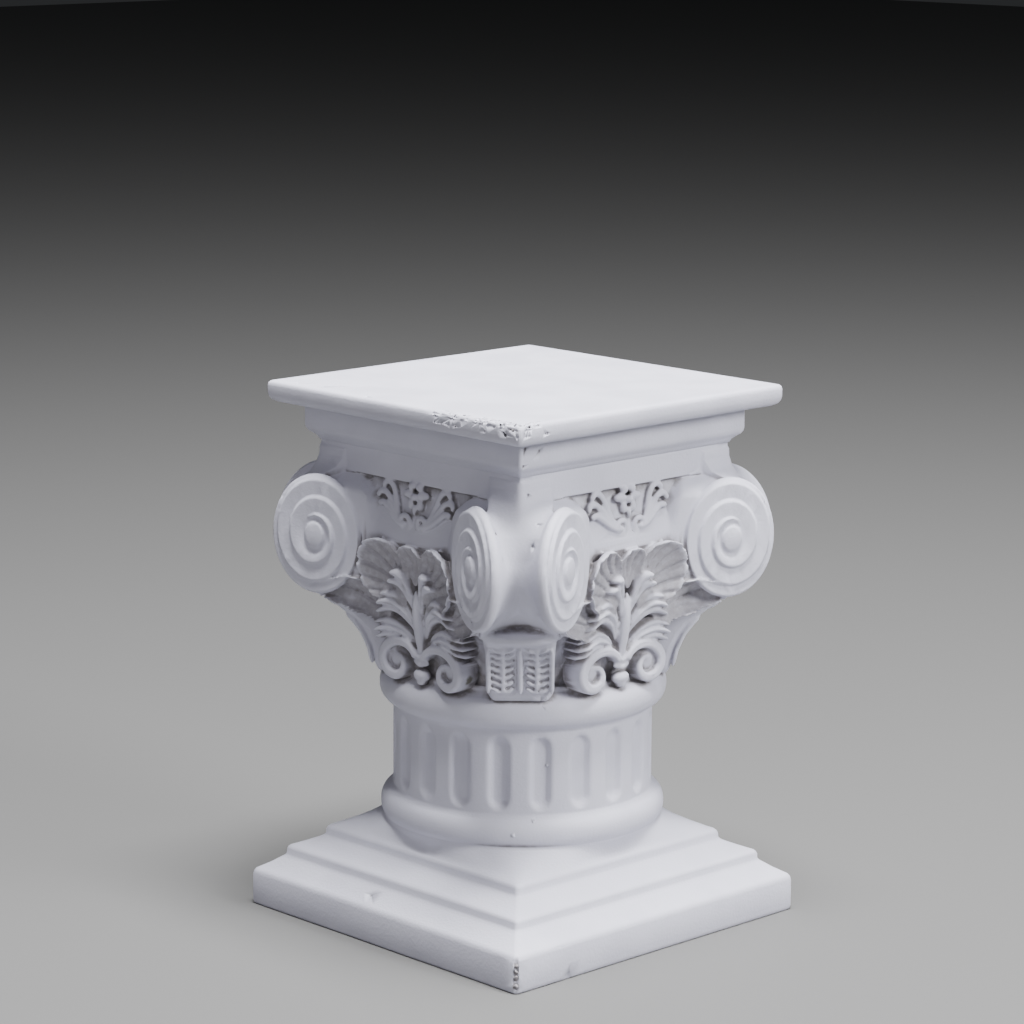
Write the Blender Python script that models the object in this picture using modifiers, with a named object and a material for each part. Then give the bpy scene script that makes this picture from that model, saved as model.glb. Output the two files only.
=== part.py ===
"""Column pedestal cast in one piece: stepped square plinth, short fluted shaft between two rolls,
and a leafy square capital with corner volutes under a square top slab.

Metres, +Z up, faces square to X and Y, origin at the middle of the underside.
The carving is laid out on one eighth, from the middle of the -Y face to the corner at +X -Y,
and each form is repeated on the other eighths before all of them join into one solid.
"""

import math

import bmesh
import bpy
from mathutils import Matrix, Vector

# Plinth, from the floor up
PLINTH_WIDTH = 0.1588
SLAB_HEIGHT = 0.0155
SLAB_EDGE = 0.0020
CORNER_RADIUS = 0.0016
LOWER_TREAD = 0.0101
LOWER_TREAD_RISE = 0.0055
LOWER_STEP_HEIGHT = 0.0040
UPPER_TREAD = 0.0115
UPPER_TREAD_RISE = 0.0045
UPPER_STEP_HEIGHT = 0.0045
STEP_EDGE = 0.0012
CROWN_RISE = 0.0081

# Shaft and its two rolls
SHAFT_RADIUS = 0.0530
LOWER_ROLL_HEIGHT = 0.0108
LOWER_ROLL_BULGE = 0.0050
SHAFT_HEIGHT = 0.0378
UPPER_ROLL_HEIGHT = 0.0132
UPPER_ROLL_BULGE = 0.0056
FLUTE_COUNT = 20
FLUTE_WIDTH = 0.0088
FLUTE_DEPTH = 0.0022
FLUTE_MARGIN = 0.0040
FLUTE_OVERHANG = 0.0005

# Capital, its neck and the square top
CAPITAL_HEIGHT = 0.0925
CAPITAL_HALF = 0.0588
BAND_HEIGHT = 0.0145
BAND_STEP = 0.0035
TOP_WIDTH = 0.1476
TOP_THICKNESS = 0.0088
TOP_EDGE = 0.0020

# Carving depths
VOLUTE_THICKNESS = 0.0190
VOLUTE_EDGE = 0.0016
SPIRAL_DEPTH = 0.0018
LEAF_THICKNESS = 0.0030

ROUND_STEPS = 40

LOWER_STEP_FOOT = SLAB_HEIGHT + LOWER_TREAD_RISE
LOWER_STEP_TOP = LOWER_STEP_FOOT + LOWER_STEP_HEIGHT
UPPER_STEP_FOOT = LOWER_STEP_TOP + UPPER_TREAD_RISE
UPPER_STEP_TOP = UPPER_STEP_FOOT + UPPER_STEP_HEIGHT
CROWN_TOP = UPPER_STEP_TOP + CROWN_RISE
SHAFT_FOOT = CROWN_TOP + LOWER_ROLL_HEIGHT
SHAFT_TOP = SHAFT_FOOT + SHAFT_HEIGHT
CAPITAL_FOOT = SHAFT_TOP + UPPER_ROLL_HEIGHT
CAPITAL_TOP = CAPITAL_FOOT + CAPITAL_HEIGHT
BAND_TOP = CAPITAL_TOP + BAND_HEIGHT
PEDESTAL_TOP = BAND_TOP + TOP_THICKNESS

PLINTH_HALF = PLINTH_WIDTH / 2
LOWER_STEP_HALF = PLINTH_HALF - LOWER_TREAD
UPPER_STEP_HALF = LOWER_STEP_HALF - UPPER_TREAD
BAND_HALF = CAPITAL_HALF + BAND_STEP
TOP_HALF = TOP_WIDTH / 2


def clear_scene():
    for item in list(bpy.data.objects):
        bpy.data.objects.remove(item)


def make_collection(name, helper=False):
    collection = bpy.data.collections.new(name)
    bpy.context.scene.collection.children.link(collection)
    collection.hide_render = helper
    return collection


def add_object(name, shape, collection):
    """Object from a bmesh, with its faces turned outwards; helpers show as wires."""
    bmesh.ops.recalc_face_normals(shape, faces=shape.faces)
    mesh = bpy.data.meshes.new(name)
    shape.to_mesh(mesh)
    shape.free()
    item = bpy.data.objects.new(name, mesh)
    collection.objects.link(item)
    if collection.hide_render:
        item.hide_render = True
        item.display_type = "WIRE"
    return item


def loft(name, rings, collection):
    """Closed body through rings of equally many points, with flat ends."""
    shape = bmesh.new()
    rows = [[shape.verts.new(point) for point in ring] for ring in rings]
    count = len(rows[0])
    for below, above in zip(rows, rows[1:]):
        for i in range(count):
            j = (i + 1) % count
            shape.faces.new((below[i], below[j], above[j], above[i]))
    shape.faces.new(rows[0])
    shape.faces.new(rows[-1])
    return add_object(name, shape, collection)


def tube(name, points, radii, collection, sides=6):
    """Closed body of round section along points, as thick at each as its radius."""
    rings = []
    for i, point in enumerate(points):
        along = (points[min(i + 1, len(points) - 1)] - points[max(i - 1, 0)]).normalized()
        across = along.cross(Vector((0.31, 0.87, 0.38))).normalized()
        other = along.cross(across)
        turns = [2 * math.pi * k / sides for k in range(sides)]
        rings.append([point + radii[i] * (math.cos(a) * across + math.sin(a) * other) for a in turns])
    return loft(name, rings, collection)


def rounded_square(half, height, corner=CORNER_RADIUS, steps=1):
    """Ring of a square with rounded corners, parallel to the floor."""
    corner = min(corner, 0.9 * half)
    points = []
    for quarter in range(4):
        turn = math.pi / 2 * quarter
        middle = Vector((half - corner, half - corner, height))
        middle.rotate(Matrix.Rotation(turn, 3, "Z"))
        for step in range(steps + 1):
            angle = turn + math.pi / 2 * step / steps
            points.append(middle + corner * Vector((math.cos(angle), math.sin(angle), 0)))
    return points


def carved(across, out, up):
    """Point of the -Y face's carving: across and out in half widths, up in capital heights."""
    return Vector((across * CAPITAL_HALF, -out * CAPITAL_HALF, CAPITAL_FOOT + up * CAPITAL_HEIGHT))


def carve_plinth(collection):
    """Slab and two steps: sloping treads, low risers and eased edges."""
    profile = [
        (PLINTH_HALF - SLAB_EDGE, 0.0),
        (PLINTH_HALF, SLAB_EDGE),
        (PLINTH_HALF, SLAB_HEIGHT - SLAB_EDGE),
        (PLINTH_HALF - SLAB_EDGE, SLAB_HEIGHT),
        (LOWER_STEP_HALF + STEP_EDGE, LOWER_STEP_FOOT - STEP_EDGE),
        (LOWER_STEP_HALF, LOWER_STEP_FOOT),
        (LOWER_STEP_HALF, LOWER_STEP_TOP - STEP_EDGE),
        (LOWER_STEP_HALF - STEP_EDGE, LOWER_STEP_TOP),
        (UPPER_STEP_HALF + STEP_EDGE, UPPER_STEP_FOOT - STEP_EDGE),
        (UPPER_STEP_HALF, UPPER_STEP_FOOT),
        (UPPER_STEP_HALF, UPPER_STEP_TOP - STEP_EDGE),
        (UPPER_STEP_HALF - STEP_EDGE, UPPER_STEP_TOP),
    ]
    return loft("column_pedestal", [rounded_square(half, height) for half, height in profile], collection)


def carve_crown(collection):
    """Sloping crown from the square upper step to the round lower roll."""
    square_edge = rounded_square(UPPER_STEP_HALF - STEP_EDGE, UPPER_STEP_TOP - 0.5 * STEP_EDGE)
    radius = SHAFT_RADIUS + 0.7 * LOWER_ROLL_BULGE
    shape = bmesh.new()
    for point in square_edge:
        shape.verts.new(point)
        shape.verts.new(point - Vector((0, 0, 0.5 * UPPER_STEP_HEIGHT)))
    for step in range(ROUND_STEPS):
        angle = 2 * math.pi * step / ROUND_STEPS
        shape.verts.new((radius * math.cos(angle), radius * math.sin(angle), CROWN_TOP))
    bmesh.ops.convex_hull(shape, input=shape.verts)
    return add_object("crown", shape, collection)


def roll_profile(foot, height, bulge, steps=4):
    """Half-round outline of a roll that stands out from the shaft."""
    points = []
    for step in range(steps + 1):
        angle = math.pi * step / steps
        points.append((SHAFT_RADIUS + bulge * math.sin(angle) ** 0.8, foot + height * (1 - math.cos(angle)) / 2))
    return points


def carve_shaft(collection):
    """Turned lower roll, shaft and upper roll."""
    inside = 0.6 * CROWN_RISE
    profile = [(0.0, CROWN_TOP - inside), (SHAFT_RADIUS, CROWN_TOP - inside)]
    profile += roll_profile(CROWN_TOP, LOWER_ROLL_HEIGHT, LOWER_ROLL_BULGE)
    profile += roll_profile(SHAFT_TOP, UPPER_ROLL_HEIGHT, UPPER_ROLL_BULGE)
    profile += [(0.0, CAPITAL_FOOT)]
    mesh = bpy.data.meshes.new("shaft")
    points = [(radius, 0.0, height) for radius, height in reversed(profile)]
    mesh.from_pydata(points, [(i, i + 1) for i in range(len(points) - 1)], [])
    item = bpy.data.objects.new("shaft", mesh)
    collection.objects.link(item)
    item.hide_render = True
    item.display_type = "WIRE"
    turning = item.modifiers.new("turning", "SCREW")
    turning.steps = ROUND_STEPS
    turning.render_steps = ROUND_STEPS
    turning.use_merge_vertices = True
    turning.merge_threshold = 0.00005
    return item


def carve_flute(number, collection):
    """Round-ended cutter of one flute; number 0 lies at the middle of the -Y face."""
    shape = bmesh.new()
    bmesh.ops.create_uvsphere(shape, u_segments=6, v_segments=4, radius=1.0)
    reach = max(SHAFT_HEIGHT / 2 - FLUTE_MARGIN - FLUTE_WIDTH / 2, 0.0)
    for vertex in shape.verts:
        rise = vertex.co.z * FLUTE_WIDTH / 2
        if abs(rise) > 1e-7:
            rise += math.copysign(reach, rise)
        outward = vertex.co.y * (FLUTE_DEPTH + FLUTE_OVERHANG)
        vertex.co = Vector((vertex.co.x * FLUTE_WIDTH / 2, outward, rise))
    item = add_object(f"flute_{number}", shape, collection)
    angle = 2 * math.pi * number / FLUTE_COUNT
    item.location = (
        (SHAFT_RADIUS + FLUTE_OVERHANG) * math.sin(angle),
        -(SHAFT_RADIUS + FLUTE_OVERHANG) * math.cos(angle),
        (SHAFT_FOOT + SHAFT_TOP) / 2,
    )
    item.rotation_euler = (0, 0, angle)
    return item


def body_ring(flat, corner, up):
    """Ring of the capital's core: flat faces, and corners that reach out or draw in."""
    angles = [0, 20, 33, 41, 45]
    points = []
    for quarter in range(4):
        for angle in angles + [90 - a for a in reversed(angles[1:-1])]:
            turn = math.radians(angle if angle <= 45 else 90 - angle)
            near = (turn / (math.pi / 4)) ** 3
            square = flat / math.cos(turn)
            reach = (1 - near) * min(square, max(flat, corner)) + near * corner
            around = math.radians(angle) + quarter * math.pi / 2
            points.append(carved(reach * math.cos(around), reach * math.sin(around), up))
    return points


def carve_core(collection):
    """Bell and block of the capital, from the upper roll to the neck."""
    sections = [
        (0.88, 0.88, -0.06),
        (0.92, 0.94, 0.08),
        (0.96, 1.16, 0.31),
        (0.98, 1.44, 0.44),
        (0.985, 1.56, 0.62),
        (0.99, 1.52, 0.80),
        (1.0, 1.414, 0.90),
        (1.0, 1.414, 1.04),
    ]
    return loft("core", [body_ring(*section) for section in sections], collection)


def carve_top(collection):
    """Moulded band and square slab over the capital."""
    edge = TOP_EDGE
    profile = [
        (CAPITAL_HALF - edge, CAPITAL_TOP - 0.10 * CAPITAL_HEIGHT),
        (CAPITAL_HALF, CAPITAL_TOP - 0.09 * CAPITAL_HEIGHT),
        (CAPITAL_HALF, CAPITAL_TOP),
        (BAND_HALF, CAPITAL_TOP + 0.5 * edge),
        (BAND_HALF, BAND_TOP),
        (TOP_HALF - edge, BAND_TOP),
        (TOP_HALF, BAND_TOP + edge),
        (TOP_HALF, PEDESTAL_TOP - edge),
        (TOP_HALF - 0.6 * edge, PEDESTAL_TOP),
    ]
    return loft("top", [rounded_square(half, height) for half, height in profile], collection)


def carve_volute(collection, sectors=12, turns=2):
    """Oval disc at the corner, turned a little towards the middle of the face, with its spiral ridge.

    The ridge's crest and the hollow inside it each follow one long spiral. At every angle the crests and
    hollows of the turns lie in order between the rim and the eye, so faces join each to the next.
    """
    inner, outer = carved(0.473, 1.10, 0.618), carved(1.10, 1.334, 0.618)
    middle = (inner + outer) / 2
    across = (outer - inner).normalized()
    half_width = (outer - inner).length / 2
    half_height = 0.266 * CAPITAL_HEIGHT
    front = across.cross(Vector((0, 0, 1)))
    shape = bmesh.new()

    def place(step, share, rise):
        turn = math.radians(150) - 2 * math.pi * step / sectors
        sideways = share * half_width * math.cos(turn) * across
        upward = Vector((0, 0, share * half_height * math.sin(turn)))
        return shape.verts.new(middle + sideways + upward + rise * front)

    pitch = 0.70 / turns
    steps = sectors * turns
    back = [place(i, 1.0, -VOLUTE_THICKNESS) for i in range(sectors)]
    rim = [place(i, 1.0, -VOLUTE_EDGE) for i in range(sectors)]
    crest = [place(i, 0.93 - pitch * i / sectors, 0.0) for i in range(steps + 1)]
    hollow = [place(i, 0.93 - pitch * (i / sectors + 0.55), -SPIRAL_DEPTH) for i in range(steps + 1)]
    eye_foot = [place(i, 0.15, -SPIRAL_DEPTH) for i in range(sectors)]
    eye_top = [place(i, 0.10, 0.4 * SPIRAL_DEPTH) for i in range(sectors)]
    shape.faces.new(back)
    shape.faces.new(eye_top)
    for i in range(sectors):
        j = (i + 1) % sectors
        shape.faces.new((back[i], back[j], rim[j], rim[i]))
        shape.faces.new((eye_foot[i], eye_foot[j], eye_top[j], eye_top[i]))
        if j:
            shape.faces.new((rim[i], rim[j], crest[j], crest[i]))
    shape.faces.new((rim[-1], rim[0], crest[0], hollow[0], crest[sectors], crest[sectors - 1]))
    for i in range(steps):
        shape.faces.new((crest[i], crest[i + 1], hollow[i + 1], hollow[i]))
    for i in range(steps - sectors):
        shape.faces.new((hollow[i], hollow[i + 1], crest[i + sectors + 1], crest[i + sectors]))
    last = steps - sectors
    for i in range(1, sectors):
        j = (i + 1) % sectors
        shape.faces.new((hollow[last + i], hollow[last + i + 1], eye_foot[j], eye_foot[i]))
    shape.faces.new((hollow[last], hollow[last + 1], eye_foot[1], eye_foot[0], hollow[steps], crest[steps]))
    return add_object("volute", shape, collection)


def carve_leaf(name, base, middle, tip, width, out, collection, thick=LEAF_THICKNESS):
    """Bent pointed-oval blade through three points, with a raised midrib on its outer side."""
    rings = []
    shares = [0.0, 0.5, 1.0]
    widths = [0.66, 1.0, 0.46]
    for share, breadth in zip(shares, widths):
        point = base.lerp(middle, share).lerp(middle.lerp(tip, share), share)
        along = (base.lerp(middle, share) - middle.lerp(tip, share)).normalized()
        side = along.cross(out).normalized()
        face = side.cross(along).normalized()
        if face.dot(out) < 0:
            face.negate()
        half = breadth * width / 2
        rings.append([point + half * side, point + thick * face, point - half * side, point - 1.2 * thick * face])
    return loft(name, rings, collection)


def carve_leaves(collection):
    """Ribbed back leaves, the bent lower leaf and the curling fronds of the middle acanthus."""
    out = Vector((0, -1, 0.15))
    unit = CAPITAL_HALF
    carve_leaf("back_leaf", carved(0.10, 0.98, 0.22), carved(0.24, 1.05, 0.46), carved(0.44, 1.14, 0.60),
               0.34 * unit, out, collection)
    carve_leaf("low_leaf", carved(0.26, 0.96, 0.16), carved(0.48, 1.02, 0.34), carved(0.80, 1.17, 0.37),
               0.30 * unit, out, collection)
    carve_leaf("crest_leaf", carved(0.0, 0.98, 0.30), carved(0.0, 1.06, 0.48), carved(0.0, 1.09, 0.62),
               0.24 * unit, out, collection)
    carve_leaf("stem", carved(0.0, 0.97, 0.10), carved(0.0, 1.04, 0.30), carved(0.0, 1.13, 0.53),
               0.11 * unit, out, collection, 0.0036)
    fronds = [
        ("frond_top", (0.02, 1.06, 0.36), (0.07, 1.12, 0.44), (0.17, 1.14, 0.50), 0.12),
        ("frond_middle", (0.02, 1.04, 0.26), (0.12, 1.12, 0.36), (0.29, 1.14, 0.37), 0.12),
        ("frond_low", (0.02, 1.00, 0.17), (0.14, 1.08, 0.27), (0.33, 1.10, 0.25), 0.12),
    ]
    for name, base, middle, tip, width in fronds:
        carve_leaf(name, carved(*base), carved(*middle), carved(*tip), width * unit, out, collection, 0.0028)


def carve_scroll(collection):
    """C-scroll at the foot of the spray: out from the collar, over, and curled in to its eye."""
    points, radii = [], []
    count = 8
    for i in range(count):
        travel = i / (count - 1)
        turn = math.radians(190 - 400 * travel)
        reach = 0.165 * (1 - 0.78 * travel)
        across = 0.235 + 1.05 * reach * math.cos(turn)
        up = 0.115 + 0.62 * reach * math.sin(turn)
        points.append(carved(across, 0.945 + 0.25 * up - 0.10 * across, up))
        radii.append(0.0024 * (1 - 0.25 * travel))
    tube("scroll", points, radii, collection, sides=4)
    collar = [carved(0.0, 0.97, 0.075), carved(0.0, 0.99, 0.105), carved(0.0, 1.0, 0.145)]
    tube("collar", collar, [0.0024, 0.0036, 0.0024], collection, sides=4)


def carve_fleuron(collection):
    """Small flower under the neck with a rising leaf scroll at each side."""
    flower = carved(0.0, 0.96, 0.83)
    tube("flower", [flower, flower - Vector((0, 0.0052, 0))], [0.0046, 0.0030], collection, sides=6)
    wing = [(0.05, 0.77), (0.14, 0.77), (0.22, 0.86), (0.31, 0.85)]
    tube("wing", [carved(a, 1.0, u) for a, u in wing], [0.0020, 0.0028, 0.0028, 0.0014], collection, sides=4)
    curl = [(0.02, 0.79), (0.04, 0.725), (0.10, 0.735), (0.075, 0.765)]
    tube("curl", [carved(a, 1.0, u) for a, u in curl], [0.0016, 0.0018, 0.0016, 0.0010], collection, sides=4)


def carve_corner_block(collection):
    """Block under the volutes on the diagonal, cut in two panels, and the lip over it."""
    sections = [(0.90, 0.25, 0.035, -0.02), (0.99, 0.25, 0.035, 0.06), (1.10, 0.25, 0.035, 0.20),
                (1.26, 0.26, 0.02, 0.29), (1.35, 0.26, -0.02, 0.40)]
    along = Vector((1, -1, 0)).normalized()
    beside = Vector((1, 1, 0)).normalized()
    rings = []
    for reach, half, groove, up in sections:
        lift = Vector((0, 0, CAPITAL_FOOT + up * CAPITAL_HEIGHT))
        outline = [(0.5, -half), (reach - 0.02, -half), (reach, -0.6 * half), (reach - groove, 0.0),
                   (reach, 0.6 * half), (reach - 0.02, half), (0.5, half)]
        rings.append([CAPITAL_HALF * (r * along + b * beside) + lift for r, b in outline])
    loft("corner_block", rings, collection)
    lip = [carved(0.66, 0.96, 0.31), carved(0.87, 0.87, 0.35)]
    lip.append(Vector((-lip[0].y, -lip[0].x, lip[0].z)))
    tube("corner_lip", lip, [0.0034, 0.0052, 0.0034], collection, sides=6)


def repeat_round(item, collection, on_diagonal=False, on_middle=False):
    """Copies of a form on the other eighths; one that crosses a mirror plane has no mirror image."""
    swap = Matrix(((0, -1, 0, 0), (-1, 0, 0, 0), (0, 0, 1, 0), (0, 0, 0, 1)))
    images = [Matrix.Identity(4)] if on_diagonal or on_middle else [Matrix.Identity(4), swap]
    for quarter in range(4):
        for image in images:
            if quarter == 0 and image is images[0]:
                continue
            mesh = item.data.copy()
            mesh.transform(Matrix.Rotation(math.pi / 2 * quarter, 4, "Z") @ image)
            if image is swap:
                mesh.flip_normals()
            copy = bpy.data.objects.new(item.name, mesh)
            collection.objects.link(copy)
            copy.hide_render = True
            copy.display_type = "WIRE"


def cast_resin():
    """Cool white unglazed resin."""
    material = bpy.data.materials.new("cast_resin")
    material.use_nodes = True
    surface = material.node_tree.nodes["Principled BSDF"]
    surface.inputs["Base Color"].default_value = (0.74, 0.74, 0.80, 1.0)
    surface.inputs["Roughness"].default_value = 0.62
    surface.inputs["Metallic"].default_value = 0.0
    return material


def build():
    clear_scene()
    parts = make_collection("column_pedestal_parts")
    forms = make_collection("united_forms", helper=True)
    cutters = make_collection("flute_cutters", helper=True)
    pedestal = carve_plinth(parts)
    carve_crown(forms)
    shaft = carve_shaft(forms)
    carve_core(forms)
    carve_top(forms)
    laid_out = list(forms.objects)
    carve_volute(forms)
    carve_leaves(forms)
    carve_scroll(forms)
    carve_fleuron(forms)
    carve_corner_block(forms)
    for item in [form for form in forms.objects if form not in laid_out]:
        on_middle = item.name in ("crest_leaf", "stem", "collar", "flower")
        on_diagonal = item.name in ("corner_block", "corner_lip")
        repeat_round(item, forms, on_diagonal, on_middle)
    for number in range(FLUTE_COUNT):
        flute = carve_flute(number, cutters)
        fluting = shaft.modifiers.new(flute.name, "BOOLEAN")
        fluting.operation = "DIFFERENCE"
        fluting.solver = "EXACT"
        fluting.object = flute

    joining = pedestal.modifiers.new("one casting", "BOOLEAN")
    joining.operation = "UNION"
    joining.solver = "EXACT"
    joining.operand_type = "COLLECTION"
    joining.collection = forms

    pedestal.data.materials.append(cast_resin())
    pedestal.data.shade_smooth()
    pedestal.data.set_sharp_from_angle(angle=math.radians(32))


build()
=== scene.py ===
import math

import bmesh
import bpy
import numpy as np
from mathutils import Matrix, Vector, noise
from mathutils.bvhtree import BVHTree
from mathutils.kdtree import KDTree


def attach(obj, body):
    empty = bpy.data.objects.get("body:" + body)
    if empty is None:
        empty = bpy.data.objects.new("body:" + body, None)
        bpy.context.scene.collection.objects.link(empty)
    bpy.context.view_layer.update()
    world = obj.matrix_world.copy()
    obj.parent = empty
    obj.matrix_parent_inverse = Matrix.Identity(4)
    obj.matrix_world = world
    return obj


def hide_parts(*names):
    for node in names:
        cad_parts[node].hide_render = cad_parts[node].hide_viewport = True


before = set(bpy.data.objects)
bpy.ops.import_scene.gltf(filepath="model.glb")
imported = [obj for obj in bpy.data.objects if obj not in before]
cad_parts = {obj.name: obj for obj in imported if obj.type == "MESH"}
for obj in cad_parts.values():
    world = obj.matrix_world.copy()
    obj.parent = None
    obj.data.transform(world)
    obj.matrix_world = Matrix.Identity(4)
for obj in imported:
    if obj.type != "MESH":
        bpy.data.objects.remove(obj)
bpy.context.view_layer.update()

# Studio
# A plain floor, a soft light from the right, a stronger one overhead and a weak fill from the
# front left. The camera looks at the pedestal's near corner, a little from above.
MODULE = 0.0794                 # half the plinth's width: the camera and the carving are set out in it
CAMERA_DISTANCE = 17.5561
CAMERA_HEIGHT = 2.0954
CAMERA_SIDEWAYS = -0.06
CAMERA_PITCH = 0.1969
CAMERA_ROLL = -0.0049
CAMERA_TURN = math.radians(45) + 0.0213
LENS = 120.95


def aim_camera():
    """Camera on a circle round the pedestal, with its own axes worked out from turn, pitch and roll."""
    turn = Matrix.Rotation(CAMERA_TURN, 3, "Z")
    level_right = Vector((1, 0, 0))
    forward = Vector((0, math.cos(CAMERA_PITCH), -math.sin(CAMERA_PITCH)))
    level_up = Vector((0, math.sin(CAMERA_PITCH), math.cos(CAMERA_PITCH)))
    right = math.cos(CAMERA_ROLL) * level_right - math.sin(CAMERA_ROLL) * level_up
    up = math.sin(CAMERA_ROLL) * level_right + math.cos(CAMERA_ROLL) * level_up
    place = Vector((CAMERA_SIDEWAYS, 0, CAMERA_HEIGHT)) - CAMERA_DISTANCE * forward
    axes = Matrix((turn @ right, turn @ up, turn @ -forward)).transposed()
    data = bpy.data.cameras.new("camera")
    data.lens = LENS
    data.sensor_width = 36
    camera = bpy.data.objects.new("camera", data)
    camera.matrix_world = Matrix.Translation(turn @ place * MODULE) @ axes.to_4x4()
    bpy.context.scene.collection.objects.link(camera)
    bpy.context.scene.camera = camera


def add_softbox(name, azimuth, elevation, distance, width, power, colour):
    """Square area light that faces the middle of the pedestal."""
    data = bpy.data.lights.new(name, "AREA")
    data.size = width
    data.energy = power
    data.color = colour
    light = bpy.data.objects.new(name, data)
    side, rise = math.radians(azimuth), math.radians(elevation)
    spot = Vector((math.sin(side) * math.cos(rise), -math.cos(side) * math.cos(rise), math.sin(rise)))
    aim = Vector((0, 0, 1.3 * MODULE))
    light.location = aim + distance * spot
    light.rotation_euler = spot.to_track_quat("Z", "Y").to_euler()
    bpy.context.scene.collection.objects.link(light)


def lay_floor():
    """Floor sheet with a plain pale finish."""
    shape = bmesh.new()
    bmesh.ops.create_grid(shape, x_segments=1, y_segments=1, size=6.0)
    mesh = bpy.data.meshes.new("floor")
    shape.to_mesh(mesh)
    shape.free()
    paint = bpy.data.materials.new("floor_paint")
    paint.use_nodes = True
    shader = paint.node_tree.nodes["Principled BSDF"]
    shader.inputs["Base Color"].default_value = (0.125, 0.125, 0.125, 1)
    shader.inputs["Roughness"].default_value = 0.8
    mesh.materials.append(paint)
    floor = bpy.data.objects.new("floor", mesh)
    bpy.context.scene.collection.objects.link(floor)


aim_camera()
add_softbox("key_light", 104, 29, 1.6, 0.5, 32, (1.0, 1.0, 1.0))
add_softbox("top_light", 75, 80, 1.6, 0.7, 112, (1.0, 1.0, 1.0))
add_softbox("fill_light", 25, 26, 2.2, 1.2, 11, (1.0, 0.97, 1.0))
lay_floor()
world = bpy.data.worlds.new("studio_air")
world.use_nodes = True
world.node_tree.nodes["Background"].inputs["Color"].default_value = (0.80, 0.84, 0.88, 1)
world.node_tree.nodes["Background"].inputs["Strength"].default_value = 0.03
bpy.context.scene.world = world


# Plinth
# Square foot of the casting: a slab, two steps whose treads rise inwards, and a crown that turns
# from square to round. It is poured with the rest in one mould, so its edges are soft.
SIDE_STEPS = 28
CORNER_STEPS = 6
PLINTH_PROFILE = [              # half width, corner radius, height and share of roundness, from the floor
    (0.988, 0.020, 0.000, 0), (0.996, 0.022, 0.006, 0), (1.000, 0.022, 0.022, 0), (1.000, 0.022, 0.090, 0),
    (0.999, 0.022, 0.162, 0), (0.995, 0.022, 0.178, 0), (0.987, 0.020, 0.190, 0), (0.975, 0.018, 0.197, 0),
    (0.930, 0.022, 0.226, 0), (0.893, 0.020, 0.254, 0), (0.880, 0.020, 0.264, 0), (0.874, 0.022, 0.275, 0),
    (0.873, 0.022, 0.298, 0), (0.869, 0.022, 0.309, 0), (0.861, 0.020, 0.317, 0), (0.845, 0.018, 0.323, 0),
    (0.795, 0.018, 0.345, 0), (0.752, 0.020, 0.365, 0), (0.738, 0.022, 0.374, 0), (0.730, 0.024, 0.385, 0),
    (0.729, 0.026, 0.408, 0), (0.725, 0.028, 0.420, 0), (0.716, 0.030, 0.429, 0), (0.706, 0.034, 0.436, 0.04),
    (0.700, 0.040, 0.455, 0.22), (0.700, 0.040, 0.478, 0.50), (0.705, 0.040, 0.500, 0.76),
    (0.712, 0.040, 0.516, 0.93), (0.716, 0.040, 0.528, 1), (0.716, 0.040, 0.540, 1),
]


def rounded_square(half, corner, height, roundness=0.0):
    """Ring of points on a square with rounded corners, or part of the way from it to a circle."""
    ring = []
    for quarter in range(4):
        turn = Matrix.Rotation(quarter * math.pi / 2, 3, "Z")
        straight = half - corner
        for i in range(SIDE_STEPS):
            share = 2 * i / SIDE_STEPS - 1
            angle = math.radians(-90 + 41 * share)
            square = Vector((share * straight, -half, height))
            round_point = Vector((half * math.cos(angle), half * math.sin(angle), height))
            ring.append(turn @ square.lerp(round_point, roundness) * MODULE)
        for i in range(CORNER_STEPS):
            share = i / CORNER_STEPS
            angle = math.radians(-90 + 90 * share)
            square = Vector((straight + corner * math.cos(angle), corner * math.sin(angle) - straight, height))
            angle = math.radians(-49 + 8 * share)
            round_point = Vector((half * math.cos(angle), half * math.sin(angle), height))
            ring.append(turn @ square.lerp(round_point, roundness) * MODULE)
    return ring


def loft(shape, rings):
    """Skin over rings of equally many points, closed by a flat face at each end."""
    rows = [[shape.verts.new(point) for point in ring] for ring in rings]
    count = len(rows[0])
    for low, high in zip(rows, rows[1:]):
        for i in range(count):
            j = (i + 1) % count
            shape.faces.new((low[i], low[j], high[j], high[i]))
    shape.faces.new(rows[0][::-1])
    shape.faces.new(rows[-1])


def add_piece(name, shape):
    """Object at the origin from a finished shape, with its faces pointing outwards."""
    bmesh.ops.remove_doubles(shape, verts=shape.verts, dist=0.000001)
    bmesh.ops.recalc_face_normals(shape, faces=shape.faces)
    mesh = bpy.data.meshes.new(name)
    shape.to_mesh(mesh)
    shape.free()
    piece = bpy.data.objects.new(name, mesh)
    bpy.context.scene.collection.objects.link(piece)
    return piece


plinth_shape = bmesh.new()
loft(plinth_shape, [rounded_square(*row) for row in PLINTH_PROFILE])
plinth = add_piece("plinth", plinth_shape)


# Top
# Square slab that things stand on, over a moulded band. The open side of the mould was here, so
# the slab's edge is a little uneven and worn to a grain at the near corner.
TOP_PROFILE = [                 # half width, corner radius and height
    (0.700, 0.014, 2.460), (0.742, 0.014, 2.470), (0.750, 0.014, 2.487), (0.765, 0.015, 2.500),
    (0.783, 0.016, 2.514), (0.792, 0.016, 2.528), (0.795, 0.016, 2.545), (0.795, 0.016, 2.630),
    (0.800, 0.016, 2.643), (0.815, 0.016, 2.649), (0.860, 0.017, 2.652), (0.895, 0.018, 2.659),
    (0.914, 0.019, 2.670), (0.925, 0.020, 2.686), (0.930, 0.022, 2.706), (0.930, 0.022, 2.742),
    (0.927, 0.022, 2.756), (0.919, 0.020, 2.764), (0.907, 0.018, 2.767), (0.870, 0.017, 2.766),
    (0.700, 0.014, 2.765), (0.350, 0.014, 2.765),
]

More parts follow.
